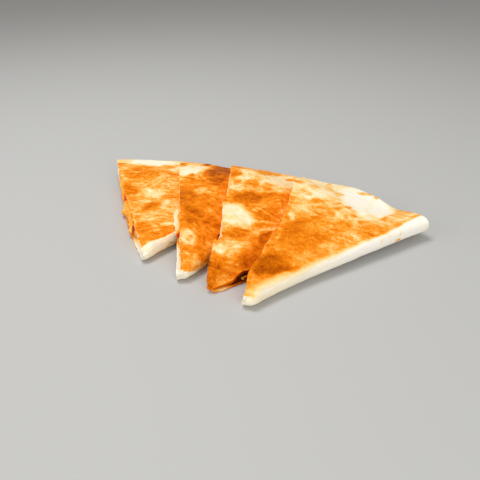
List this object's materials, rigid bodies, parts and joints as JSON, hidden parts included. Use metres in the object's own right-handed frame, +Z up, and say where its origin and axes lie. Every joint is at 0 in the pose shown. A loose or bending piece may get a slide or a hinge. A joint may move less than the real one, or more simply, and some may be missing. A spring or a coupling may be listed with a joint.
{
  "type": "quesadilla",
  "caption": "Toasted quesadilla cut into wedges that lie fanned out one on another, each a folded flour tortilla round a thin layer of melted filling.",
  "frame": {"origin": "middle of the bounding box's base, on the surface that the wedges lie on", "axes": "+Z up; +X to the right along the fan, from the lowest wedge to the top one; the wedges' tips point towards -Y and their round edges towards +Y"},
  "size_m": [0.2015, 0.164, 0.0301],
  "materials": {
    "toasted_tortilla": "soft flour tortilla, toasted golden to brown in patches, pale along its folds and rim",
    "melted_filling": "melted cheese and sauce, moist, yellow to orange"
  },
  "bodies": {
    "root": {"slice_1_tortilla": "toasted_tortilla", "slice_1_filling": "melted_filling", "slice_2_tortilla": "toasted_tortilla", "slice_2_filling": "melted_filling", "slice_3_top_tortilla": "toasted_tortilla", "slice_3_bottom_tortilla": "toasted_tortilla", "slice_3_filling": "melted_filling", "slice_4_tortilla": "toasted_tortilla", "slice_4_filling": "melted_filling"}
  },
  "joints": []
}
